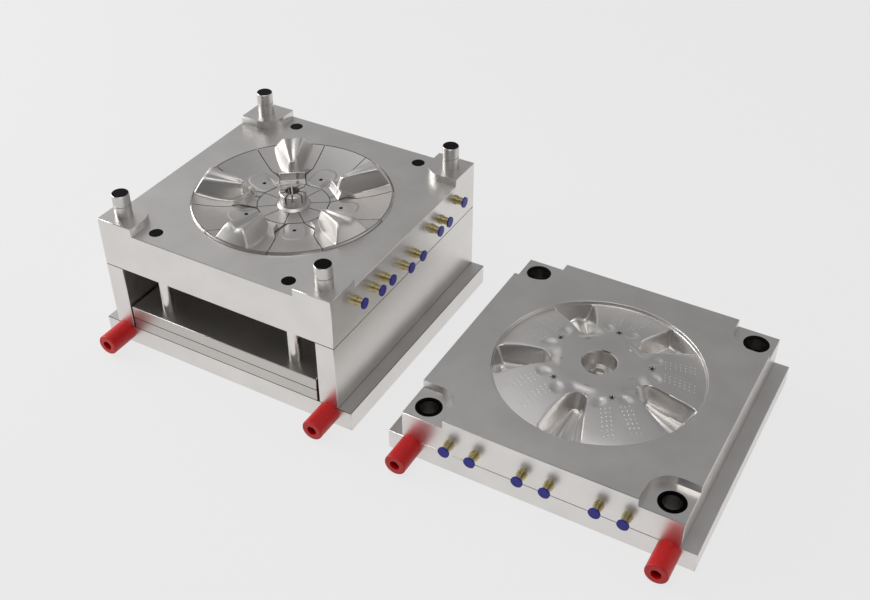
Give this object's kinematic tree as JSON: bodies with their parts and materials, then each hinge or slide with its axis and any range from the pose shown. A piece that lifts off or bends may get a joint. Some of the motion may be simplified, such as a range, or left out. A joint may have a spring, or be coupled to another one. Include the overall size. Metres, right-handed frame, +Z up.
{
  "type": "injection mould",
  "caption": "Two-plate injection mould for a round five-spoke cover, laid open: core half with ejector plates and guide pillars beside its cavity half.",
  "frame": {"origin": "centre of the moving half's back face, at the mouth of its knock-out hole", "axes": "+Z up along the opening direction, +X from the core half to the cavity half, -Y the side with the feet"},
  "size_m": [1.304, 0.612, 0.355],
  "materials": {
    "plate_steel": "ground",
    "ejector_steel": "milled",
    "core_steel": "polished",
    "polished_steel": "ground round bar",
    "black_steel": "black oxide",
    "black_screws": "black oxide",
    "red_enamel": "gloss enamel",
    "brass": "turned",
    "blue_plastic": "moulded"
  },
  "bodies": {
    "mould_base": {"moving_clamp_plate": "plate_steel", "spacer_block_left": "plate_steel", "spacer_block_right": "plate_steel", "core_plate": "plate_steel", "cavity_plate": "plate_steel", "cavity_clamp_plate": "plate_steel", "core_spoke_insert_1": "core_steel", "core_petal_insert_1": "core_steel", "core_ring_segment_1": "core_steel", "core_spoke_insert_2": "core_steel", "core_petal_insert_2": "core_steel", "core_ring_segment_2": "core_steel", "core_spoke_insert_3": "core_steel", "core_petal_insert_3": "core_steel", "core_ring_segment_3": "core_steel", "core_spoke_insert_4": "core_steel", "core_petal_insert_4": "core_steel", "core_ring_segment_4": "core_steel", "core_spoke_insert_5": "core_steel", "core_petal_insert_5": "core_steel", "core_ring_segment_5": "core_steel", "core_hub": "core_steel", "guide_pillar_1": "polished_steel", "guide_bush_1": "black_steel", "mould_foot_1": "red_enamel", "guide_pillar_2": "polished_steel", "guide_bush_2": "black_steel", "mould_foot_2": "red_enamel", "guide_pillar_3": "polished_steel", "guide_bush_3": "black_steel", "mould_foot_3": "red_enamel", "guide_pillar_4": "polished_steel", "guide_bush_4": "black_steel", "mould_foot_4": "red_enamel", "sprue_bush": "polished_steel", "locating_ring": "black_steel", "core_cooling_fittings": "brass", "core_fitting_caps": "blue_plastic", "cavity_cooling_fittings": "brass", "cavity_fitting_caps": "blue_plastic", "foot_screws": "black_screws", "moving_half_screws": "black_screws", "fixed_half_screws": "black_screws"},
    "ejector_set": {"ejector_plate": "ejector_steel", "ejector_retainer_plate": "ejector_steel", "ejector_pins": "polished_steel", "ejector_plate_screws": "black_screws", "ejector_key_1": "core_steel", "ejector_key_2": "core_steel", "ejector_key_3": "core_steel", "ejector_key_4": "core_steel", "ejector_key_5": "core_steel", "return_pin_1": "polished_steel", "return_pin_2": "polished_steel", "return_pin_3": "polished_steel", "return_pin_4": "polished_steel"}
  },
  "joints": [
    {"name": "ejector_slide", "type": "slide", "parent": "mould_base", "child": "ejector_set", "axis": [0, 0, 1], "range_m": [0, 0.06]}
  ]
}
